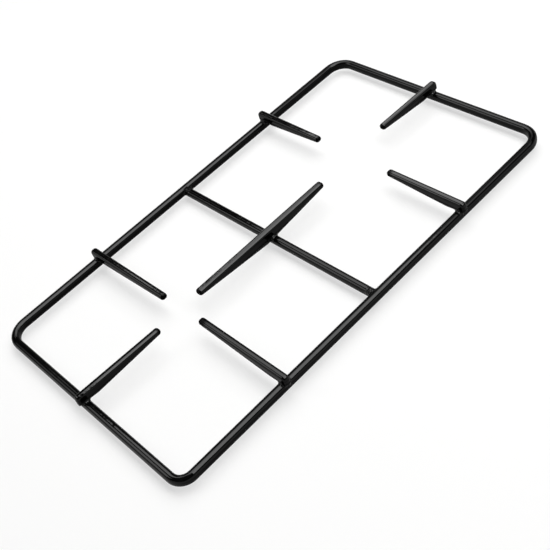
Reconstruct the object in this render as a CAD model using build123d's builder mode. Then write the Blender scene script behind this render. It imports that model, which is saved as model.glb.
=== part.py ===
from build123d import *
import os

os.makedirs("parts", exist_ok=True)

# Hob pan support in enamelled steel: a closed frame of rounded bar, a bar across its middle,
# and tapered prongs welded on top of the bars that point at the two burners.
# X runs across the support, Y runs along it, Z is up; the near end is at -Y.
# The origin lies on the face the frame rests on, at the middle of the frame.

# Outer frame, measured along the middle line of the bar
frame_length = 470.0
frame_width = 265.7
bar_width = 8.5
bar_height = 9.8
bar_edge_radius = 4.1
bend_radius = 18.8
tight_bend_radius = 13.2

# Bar across the middle, a little slighter than the frame and not quite square to it
cross_bar_y = -3.4
cross_bar_turn = 0.5
cross_bar_width = 8.2
cross_bar_height = 9.0
cross_bar_edge_radius = 3.8
cross_bar_lift = 0.2

# Prongs: blades with well rounded edges, level on top and tapering underneath to a round tip
prong_thickness = 7.2
prong_top = 18.7
prong_seat = 8.6
prong_root_underside = 7.0
prong_taper_start = 14.6
prong_tip_depth = 6.0
prong_edge_radius = 2.9
heel_radius = 4.2
side_overhang = 6.2
near_end_overhang = 6.2
far_end_overhang = 7.6

# Double prong that lies over the middle bar, heavier than the others and deeper on its near side
middle_thickness = 8.0
middle_near_seat = 4.6
middle_far_seat = 6.4
middle_flat = 8.3

# Where each prong stands along its bar
near_left_y = -120.1
near_right_y = -116.4
far_left_y = 115.8
far_right_y = 114.8
near_end_x = -1.2
far_end_x = -0.9

# How far some prongs were welded out of square, turned from above
near_left_turn = 1.15
near_end_turn = -1.9
far_right_turn = 0.2
far_end_turn = -1.2

# How far each tip reaches inwards from the middle line of its bar
near_left_reach = 109.4
near_right_reach = 106.6
near_end_reach = 89.3
far_left_reach = 85.7
far_right_reach = 86.1
far_end_reach = 74.5
middle_near_reach = 93.4
middle_far_reach = 72.9

# Weld runs where the pieces meet
prong_weld_radius = 2.2
bar_weld_radius = 2.4

# Values that follow from the sizes above
half_width = frame_width / 2
half_length = frame_length / 2
nose_flat = 0.1
nose_radius = (prong_tip_depth - nose_flat) / 2
tip_underside = prong_top - prong_tip_depth
corner_sum = half_width + half_length
slack = 0.01


def frame_outline(grow):
    """Plan of the frame, drawn `grow` outside the middle line of the bar."""
    with BuildSketch() as plan:
        Rectangle(frame_width + 2 * grow, frame_length + 2 * grow)
        near_right = sorted(plan.vertices(), key=lambda v: v.X - v.Y)[-1]
        fillet(near_right, tight_bend_radius + grow)
        square = [v for v in plan.vertices() if abs(v.X) + abs(v.Y) > corner_sum + 2 * grow - slack]
        fillet(square, bend_radius + grow)
    return plan.sketch


# Outer frame: one bar bent to a closed loop, its edges rounded all the way round
with BuildPart() as outer_frame:
    with BuildSketch():
        add(frame_outline(bar_width / 2))
        add(frame_outline(-bar_width / 2), mode=Mode.SUBTRACT)
    extrude(amount=bar_height)
    fillet(outer_frame.faces().filter_by(Axis.Z).edges(), bar_edge_radius)
outer_frame.part.label = "outer_frame"
export_step(outer_frame.part, "parts/outer_frame.step")

# Bar across the middle: straight, its ends shaped to the frame and welded between the long sides
with BuildPart() as cross_bar:
    with Locations((0, cross_bar_y, cross_bar_lift + cross_bar_height / 2)):
        Box(frame_width, cross_bar_width, cross_bar_height, rotation=(0, 0, cross_bar_turn))
    fillet(cross_bar.edges().sort_by(SortBy.LENGTH)[-4:], cross_bar_edge_radius)
    add(outer_frame.part)
    fillet(cross_bar.edges(Select.NEW), bar_weld_radius)
    add(outer_frame.part, mode=Mode.SUBTRACT)
cross_bar.part.label = "cross_bar"
export_step(cross_bar.part, "parts/cross_bar.step")


def make_prong(label, root, inward, reach, overhang, turn=0):
    """A prong whose heel stands on the frame at `root` and whose tip points along `inward`.

    The blade is joined to the frame, the weld is run round the seam, and the frame is taken
    away again, so the heel is left with a seat that fits the bar and carries the weld.
    """
    along = Vector(*inward).rotate(Axis.Z, turn)
    side = Plane(origin=root, x_dir=along, z_dir=along.cross(Vector(0, 0, 1)))
    with BuildPart() as prong:
        with BuildSketch(side) as profile:
            with BuildLine():
                Polyline(
                    (-overhang, prong_seat),
                    (-overhang, prong_top),
                    (reach, prong_top),
                    (reach, tip_underside),
                    (prong_taper_start, prong_root_underside),
                    close=True,
                )
            make_face()
            fillet(profile.vertices().sort_by(Axis.X)[-2:], nose_radius)
            heel = profile.vertices().sort_by(Axis.X)[:2].sort_by(Axis.Y)
            fillet(heel[-1], heel_radius)
        extrude(amount=prong_thickness / 2, both=True)
        flanks = prong.faces().filter_by(Axis(side.origin, side.z_dir))
        fillet(flanks.edges(), prong_edge_radius)
        add(outer_frame.part)
        fillet(prong.edges(Select.NEW), prong_weld_radius)
        add(outer_frame.part, mode=Mode.SUBTRACT)
    prong.part.label = label
    export_step(prong.part, f"parts/{label}.step")


# Single prongs: two on each long side and one on each end, named by burner and side
left, right = (-half_width, half_width)
near_left_root = (left, near_left_y, 0)
make_prong("prong_near_left", near_left_root, (1, 0, 0), near_left_reach, side_overhang, near_left_turn)
make_prong("prong_near_right", (right, near_right_y, 0), (-1, 0, 0), near_right_reach, side_overhang)
near_end_root = (near_end_x, -half_length, 0)
make_prong("prong_near_end", near_end_root, (0, 1, 0), near_end_reach, near_end_overhang, near_end_turn)
make_prong("prong_far_left", (left, far_left_y, 0), (1, 0, 0), far_left_reach, side_overhang)
far_right_root = (right, far_right_y, 0)
make_prong("prong_far_right", far_right_root, (-1, 0, 0), far_right_reach, side_overhang, far_right_turn)
far_end_root = (far_end_x, half_length, 0)
make_prong("prong_far_end", far_end_root, (0, -1, 0), far_end_reach, far_end_overhang, far_end_turn)

# Double prong: one blade welded over the middle bar, with a tip towards each burner
lengthwise = Plane(origin=(0, cross_bar_y, 0), x_dir=(0, 1, 0), z_dir=(1, 0, 0))
with BuildPart() as middle_prong:
    with BuildSketch(lengthwise) as profile:
        with BuildLine():
            Polyline(
                (-middle_near_reach, prong_top),
                (middle_far_reach, prong_top),
                (middle_far_reach, tip_underside),
                (middle_flat, middle_far_seat),
                (-middle_flat, middle_near_seat),
                (-middle_near_reach, tip_underside),
                close=True,
            )
        make_face()
        fillet(profile.vertices().sort_by(Axis.X)[-2:], nose_radius)
        fillet(profile.vertices().sort_by(Axis.X)[:2], nose_radius)
    extrude(amount=middle_thickness / 2, both=True)
    fillet(middle_prong.faces().filter_by(Axis.X).edges(), prong_edge_radius)
    add(cross_bar.part)
    fillet(middle_prong.edges(Select.NEW), prong_weld_radius)
    add(cross_bar.part, mode=Mode.SUBTRACT)
middle_prong.part.label = "middle_prong"
export_step(middle_prong.part, "parts/middle_prong.step")
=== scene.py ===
import math

import bpy
from mathutils import Matrix, Vector


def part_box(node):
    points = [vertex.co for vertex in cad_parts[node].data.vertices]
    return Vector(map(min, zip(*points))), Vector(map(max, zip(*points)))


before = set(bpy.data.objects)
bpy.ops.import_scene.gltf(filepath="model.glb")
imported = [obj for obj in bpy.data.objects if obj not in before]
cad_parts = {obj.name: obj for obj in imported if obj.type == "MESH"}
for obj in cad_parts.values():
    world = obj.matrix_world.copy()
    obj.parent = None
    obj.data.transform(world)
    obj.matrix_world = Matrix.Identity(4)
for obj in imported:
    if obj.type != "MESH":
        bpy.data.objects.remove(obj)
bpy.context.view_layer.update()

# Outer frame: one mild steel bar bent to a rectangle and welded shut.
# It is dipped and fired in gloss black vitreous enamel, which lies a little wavy on the steel.
# Its gloss is cut down low on the sides, a painted shade that keeps them from reflecting the
# bright floor.
enamel_ior = 1.5
deep_black, pale_black = (0.0008, 0.0008, 0.0009, 1), (0.0028, 0.0027, 0.0026, 1)
mottle_scale, gloss_scale, flow_scale, peel_scale = 180.0, 320.0, 110.0, 750.0
smoothest, roughest = 0.045, 0.095
flow_strength, flow_height = 0.16, 0.0006
peel_strength, peel_height = 0.06, 0.0002
flank_shine, rim_shine = 0.06, 0.08
flank_rim_start, flank_rim_end = 0.5, 0.85
low_view_start, low_view_end = 0.48, 0.62
shaded_slope, shining_slope = 0.1, 0.7
round_slope, flat_slope = 0.55, 0.8
nearly_level, quite_level = 0.75, 0.95
corner_start, corner_end = 0.212, 0.23


def eased(coat, value, low, high, at_low, at_high, step="SMOOTHSTEP"):
    """Goes from at_low to at_high while value goes from low to high."""
    change = coat.node_tree.nodes.new("ShaderNodeMapRange")
    change.interpolation_type = step
    change.inputs["From Min"].default_value = low
    change.inputs["From Max"].default_value = high
    change.inputs["To Min"].default_value = at_low
    change.inputs["To Max"].default_value = at_high
    coat.node_tree.links.new(value, change.inputs["Value"])
    return change


def combined(coat, operation, first, second=0.0):
    """Puts two values together, each a socket or a plain number."""
    both = coat.node_tree.nodes.new("ShaderNodeMath")
    both.operation = operation
    for socket, value in zip(both.inputs, (first, second)):
        if isinstance(value, float):
            socket.default_value = value
        else:
            coat.node_tree.links.new(value, socket)
    return both.outputs["Value"]


def grain(coat, scale, detail):
    """Fine noise that is fixed to the piece."""
    place = coat.node_tree.nodes.new("ShaderNodeTexCoord")
    noise = coat.node_tree.nodes.new("ShaderNodeTexNoise")
    noise.inputs["Scale"].default_value = scale
    noise.inputs["Detail"].default_value = detail
    coat.node_tree.links.new(place.outputs["Object"], noise.inputs["Vector"])
    return noise.outputs["Fac"]


def relief(coat, height, strength, distance):
    """Raises the coat by height, on top of any relief that it has already."""
    skin_normal = coat.node_tree.nodes["skin"].inputs["Normal"]
    bump = coat.node_tree.nodes.new("ShaderNodeBump")
    bump.inputs["Strength"].default_value = strength
    bump.inputs["Distance"].default_value = distance
    coat.node_tree.links.new(height, bump.inputs["Height"])
    if skin_normal.is_linked:
        coat.node_tree.links.new(skin_normal.links[0].from_socket, bump.inputs["Normal"])
    coat.node_tree.links.new(bump.outputs["Normal"], skin_normal)


def black_enamel(name, top_shine, rim_start, rim_end):
    """The fired coat. Its gloss falls off from rim_start to rim_end as it turns from the eye, a
    painted dark rim.
    """
    coat = bpy.data.materials.new(name)
    coat.use_nodes = True
    nodes = coat.node_tree.nodes
    links = coat.node_tree.links
    nodes.clear()
    out = nodes.new("ShaderNodeOutputMaterial")
    skin = nodes.new("ShaderNodeBsdfPrincipled")
    skin.name = "skin"
    skin.inputs["IOR"].default_value = enamel_ior
    links.new(skin.outputs["BSDF"], out.inputs["Surface"])

    # Painted shade: the gloss is full on top and cut down on the flanks, so they reflect little
    # of the bright floor.
    place = nodes.new("ShaderNodeTexCoord")
    slope = nodes.new("ShaderNodeSeparateXYZ")
    links.new(place.outputs["Normal"], slope.inputs["Vector"])
    upward = slope.outputs["Z"]
    slope_shade = eased(coat, upward, shaded_slope, shining_slope, flank_shine, top_shine)
    slope_shade.name = "slope_shade"

    # The gloss falls off towards the rim, a painted dark rim, and comes back on a level top seen
    # from low down.
    rim = nodes.new("ShaderNodeLayerWeight")
    rim.inputs["Blend"].default_value = 0.5
    turned_away = rim.outputs["Facing"]
    slopes = (round_slope, flat_slope)
    rim_from = eased(coat, upward, *slopes, flank_rim_start, rim_start, "LINEAR")
    rim_from.name = "rim_from"
    rim_to = eased(coat, upward, *slopes, flank_rim_end, rim_end, "LINEAR")
    rim_to.name = "rim_to"
    fall = eased(coat, turned_away, 0.0, 1.0, 1.0, rim_shine)
    links.new(rim_from.outputs["Result"], fall.inputs["From Min"])
    links.new(rim_to.outputs["Result"], fall.inputs["From Max"])
    level_top = eased(coat, upward, nearly_level, quite_level, 0.0, 1.0)
    low_view = eased(coat, turned_away, low_view_start, low_view_end, 0.0, 1.0)
    links.new(level_top.outputs["Result"], low_view.inputs["To Max"])
    sheen = combined(coat, "MAXIMUM", fall.outputs["Result"], low_view.outputs["Result"])
    shine = combined(coat, "MULTIPLY", slope_shade.outputs["Result"], sheen)
    links.new(shine, skin.inputs["Specular IOR Level"])

    # Firing leaves the black faintly mottled, and the gloss a little uneven.
    mottle = nodes.new("ShaderNodeValToRGB")
    mottle.color_ramp.elements[0].position = 0.35
    mottle.color_ramp.elements[0].color = deep_black
    mottle.color_ramp.elements[1].position = 0.7
    mottle.color_ramp.elements[1].color = pale_black
    links.new(grain(coat, mottle_scale, 3.0), mottle.inputs["Fac"])
    links.new(mottle.outputs["Color"], skin.inputs["Base Color"])
    unevenness = grain(coat, gloss_scale, 4.0)
    roughness = eased(coat, unevenness, 0.3, 0.7, smoothest, roughest, "LINEAR")
    links.new(roughness.outputs["Result"], skin.inputs["Roughness"])

    # The glass flowed in long waves, with a fine orange peel on them.
    relief(coat, grain(coat, flow_scale, 2.0), flow_strength, flow_height)
    relief(coat, grain(coat, peel_scale, 2.0), peel_strength, peel_height)
    return coat


def from_middle(coat, axis):
    """How far a spot lies from the middle of the part along one axis."""
    place = coat.node_tree.nodes.new("ShaderNodeTexCoord")
    along = coat.node_tree.nodes.new("ShaderNodeSeparateXYZ")
    coat.node_tree.links.new(place.outputs["Object"], along.inputs["Vector"])
    return combined(coat, "ABSOLUTE", along.outputs[axis])


def long_side_shade(coat, low_shine, rim_start, rim_end):
    """Paints more shade on the two long sides than on the two ends: less gloss on their flanks
    and a wider dark rim on top.
    """
    nodes = coat.node_tree.nodes
    lengthwise = from_middle(coat, "Y")
    for limit, on_sides in (
        (nodes["slope_shade"].inputs["To Min"], low_shine),
        (nodes["rim_from"].inputs["To Max"], rim_start),
        (nodes["rim_to"].inputs["To Max"], rim_end),
    ):
        on_ends = limit.default_value
        change = eased(coat, lengthwise, corner_start, corner_end, on_sides, on_ends, "LINEAR")
        coat.node_tree.links.new(change.outputs["Result"], limit)


def dress(node_name, coat):
    """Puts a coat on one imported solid."""
    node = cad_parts[node_name]
    node.data.materials.clear()
    node.data.materials.append(coat)


bar_enamel = black_enamel("bar_enamel", top_shine=0.27, rim_start=0.22, rim_end=0.4)
# Painted shade: the frame's long sides get less gloss and a wider dark rim than its ends.
long_side_shade(bar_enamel, low_shine=0.03, rim_start=0.14, rim_end=0.26)
dress("outer_frame", bar_enamel)

# Cross bar: a straight steel bar of the same kind, a little slighter, under the same enamel.
# Its ends are cut to the frame's side and welded, and the welds show as lumps in the coat.
ripple_scale, ripple_strength, ripple_height = 520.0, 0.9, 0.0012


def weld_ripples(coat, axis, weld_start, weld_end):
    """Lumps in the coat over a weld, growing from weld_start to weld_end along an axis."""
    on_weld = eased(coat, from_middle(coat, axis), weld_start, weld_end, 0.0, 1.0)
    ripple = grain(coat, ripple_scale, 1.0)
    height = combined(coat, "MULTIPLY", ripple, on_weld.outputs["Result"])
    relief(coat, height, ripple_strength, ripple_height)


cross_enamel = black_enamel("cross_bar_enamel", top_shine=0.25, rim_start=0.22, rim_end=0.4)
weld_ripples(cross_enamel, "X", weld_start=0.121, weld_end=0.126)
dress("cross_bar", cross_enamel)

# Middle prong: a steel blade with a tip at each end, welded across the top of the cross bar.
# Its gloss on top is set higher than on the bars, a painted highlight that brightens its narrow
# top.
# The last few millimetres before each tip have their gloss cut, a painted shade in place of the
# floor's reflection.
tip_shine = 0.12


def shaded_tip(coat, node_name, tip, dull_length):
    """Takes most of the gloss off the last stretch before a tip, a painted shade."""
    nodes = coat.node_tree.nodes
    links = coat.node_tree.links
    tip_end = max(corner.dot(Vector(tip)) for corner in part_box(node_name))
    place = nodes.new("ShaderNodeTexCoord")
    toward_tip = nodes.new("ShaderNodeVectorMath")
    toward_tip.operation = "DOT_PRODUCT"
    toward_tip.inputs[1].default_value = tip
    links.new(place.outputs["Object"], toward_tip.inputs[0])
    dull_from, dull_to = tip_end - dull_length, tip_end - dull_length / 2
    # Painted shade: the gloss fades to tip_shine towards the tip.
    tip_shade = eased(coat, toward_tip.outputs["Value"], dull_from, dull_to, 1.0, tip_shine)
    skin_shine = nodes["skin"].inputs["Specular IOR Level"]
    full_shine = skin_shine.links[0].from_socket
    links.new(combined(coat, "MULTIPLY", full_shine, tip_shade.outputs["Result"]), skin_shine)


middle_enamel = black_enamel("middle_prong_enamel", top_shine=0.33, rim_start=0.3, rim_end=0.38)
weld_ripples(middle_enamel, "Z", weld_start=0.0115, weld_end=0.0095)
shaded_tip(middle_enamel, "middle_prong", tip=(0, -1, 0), dull_length=0.0032)
shaded_tip(middle_enamel, "middle_prong", tip=(0, 1, 0), dull_length=0.0048)
dress("middle_prong", middle_enamel)

# Near prongs: three steel blades that stand on the frame round the smaller burner.
# Each heel hangs over the bar and is held by a rough weld under the same enamel.
# Left and right are as seen from the near end, and the third stands on the end bar.
prong_weld_start, prong_weld_end = 0.0125, 0.0105
to_right, to_left, to_far, to_near = (1, 0, 0), (-1, 0, 0), (0, 1, 0), (0, -1, 0)


def coat_prong(node_name, tip, dull_length, top_shine, rim_start, rim_end):
    """Coats one prong that stands on the frame and points along tip."""
    prong_enamel = black_enamel(node_name + "_enamel", top_shine, rim_start, rim_end)
    weld_ripples(prong_enamel, "Z", prong_weld_start, prong_weld_end)
    shaded_tip(prong_enamel, node_name, tip, dull_length)
    dress(node_name, prong_enamel)


# Each prong has its own gloss and rim values, lit and shaded copies of one enamel: painted
# highlight and shade set prong by prong.
coat_prong(
    "prong_near_left", to_right, dull_length=0.0032, top_shine=0.25, rim_start=0.33, rim_end=0.42
)
coat_prong(
    "prong_near_right", to_left, dull_length=0.012, top_shine=0.25, rim_start=0.235, rim_end=0.33
)
coat_prong(
    "prong_near_end", to_far, dull_length=0.0048, top_shine=0.34, rim_start=0.29, rim_end=0.37
)

# Far prongs: three shorter blades of the same kind, round the larger burner.
# They are welded to the frame in the same way and enamelled with it.
# These too are lit and shaded copies of one enamel, each with its own painted highlight and
# shade.
coat_prong(
    "prong_far_left", to_right, dull_length=0.0032, top_shine=0.34, rim_start=0.385, rim_end=0.45
)
coat_prong(
    "prong_far_right", to_left, dull_length=0.008, top_shine=0.36, rim_start=0.32, rim_end=0.39
)
coat_prong(
    "prong_far_end", to_near, dull_length=0.0032, top_shine=0.38, rim_start=0.37, rim_end=0.43
)

# Floor: a wide sheet of white paper, turned up far off on all four sides as a backdrop.
# It lies a little under the bars, so that their shadow stands away from them.
# Camera and mirror rays see a little more white in it, and the shadow stays.
reach, rise, floor_height = 15.0, 6.5, -0.005
paper_colour, paper_glow = (0.32, 0.32, 0.317, 1), 0.6
square = ((-reach, -reach), (reach, -reach), (reach, reach), (-reach, reach))
floor_mesh = bpy.data.meshes.new("floor")
floor_mesh.from_pydata(
    [(x, y, z) for z in (0, rise) for x, y in square],
    [],
    [(0, 1, 2, 3), (0, 4, 5, 1), (1, 5, 6, 2), (2, 6, 7, 3), (3, 7, 4, 0)],
)
floor = bpy.data.objects.new("floor", floor_mesh)
floor.location.z = floor_height
bpy.context.scene.collection.objects.link(floor)
paper = bpy.data.materials.new("white_paper")
paper.use_nodes = True
nodes = paper.node_tree.nodes
links = paper.node_tree.links
nodes.clear()
out = nodes.new("ShaderNodeOutputMaterial")
sheet = nodes.new("ShaderNodeBsdfDiffuse")
sheet.inputs["Color"].default_value = paper_colour
glow = nodes.new("ShaderNodeEmission")
glow.inputs["Color"].default_value = (1, 1, 1, 1)
rays = nodes.new("ShaderNodeLightPath")
seen = combined(paper, "MAXIMUM", rays.outputs["Is Camera Ray"], rays.outputs["Is Glossy Ray"])
seen = combined(paper, "MAXIMUM", seen, rays.outputs["Is Transmission Ray"])
links.new(combined(paper, "MULTIPLY", seen, paper_glow), glow.inputs["Strength"])
both = nodes.new("ShaderNodeAddShader")
links.new(sheet.outputs["BSDF"], both.inputs[0])
links.new(glow.outputs["Emission"], both.inputs[1])
links.new(both.outputs["Shader"], out.inputs["Surface"])
floor_mesh.materials.append(paper)

# Studio light: three softboxes side by side above the support, leaning over from the far end.
# A small card hangs beside them, and a weak card stands low on the near left.
# The room itself is dim, so the black enamel stays black between its highlights.
room_level = 0.05
lit_spot = Vector((0.0, -0.01, 0.008))
lamp_distance = 1.6
room = bpy.data.worlds.new("dim_room")
room.use_nodes = True
room.node_tree.nodes["Background"].inputs["Color"].default_value = (1, 1, 1, 1)
room.node_tree.nodes["Background"].inputs["Strength"].default_value = room_level
bpy.context.scene.world = room


def stand_up(name, data, across, upright, back, spot):
    """Puts a lamp or the camera in its place, with its back turned to back."""
    stand = bpy.data.objects.new(name, data)
    turn = Matrix((across, upright, back)).transposed().to_4x4()
    stand.matrix_world = Matrix.Translation(spot) @ turn
    bpy.context.scene.collection.objects.link(stand)
    return stand


def softbox(name, width, height, watts, slide=0.0, drop=0.0, azimuth=90, elevation=70):
    """A flat lamp that faces the support. Slide and drop shift it in its own plane."""
    lamp = bpy.data.lights.new(name, "AREA")
    lamp.shape = "RECTANGLE"
    lamp.size = width
    lamp.size_y = height
    lamp.energy = watts
    a, e = math.radians(azimuth), math.radians(elevation)
    toward = Vector((math.cos(a) * math.cos(e), math.sin(a) * math.cos(e), math.sin(e)))
    level = Vector((-math.sin(a), math.cos(a), 0))
    high = toward.cross(level)
    spot = lit_spot + toward * lamp_distance + level * slide - high * drop
    stand_up(name, lamp, level, high, toward, spot)


softbox("key_softbox", width=1.79, height=0.95, watts=28.0, slide=-0.545, drop=-0.15)
softbox("side_softbox", width=1.065, height=1.575, watts=19.0, slide=0.887, drop=0.162)
softbox("back_softbox", width=1.255, height=0.525, watts=4.1, slide=-0.273, drop=0.588)
softbox("small_card", width=0.18, height=0.18, watts=0.42, slide=1.66, drop=-0.13)
softbox("left_card", width=0.6, height=0.8, watts=3.9, azimuth=-136, elevation=38)

# Camera: the photograph's place, seen from the right and above and turned a little on its axis.
# The lens is found from the outline of the bars, in a square picture.
azimuth, elevation, roll = math.radians(60.87), math.radians(45.12), math.radians(-20.92)
aim, camera_distance = Vector((0.0362, -0.03517, 0.004)), 0.87161
sensor_width, focal_pixels, picture_pixels = 36.0, 952.25, 550
away = math.cos(elevation)
back = Vector((math.sin(azimuth) * away, -math.cos(azimuth) * away, math.sin(elevation)))
right = Vector((math.cos(azimuth), math.sin(azimuth), 0))
up = back.cross(right)
across = right * math.cos(roll) + up * math.sin(roll)
upright = up * math.cos(roll) - right * math.sin(roll)
lens = bpy.data.cameras.new("camera")
lens.sensor_width = sensor_width
lens.lens = sensor_width * focal_pixels / picture_pixels
lens.clip_start = 0.01
camera = stand_up("camera", lens, across, upright, back, aim + back * camera_distance)
bpy.context.scene.camera = camera
bpy.context.scene.view_settings.view_transform = "Standard"
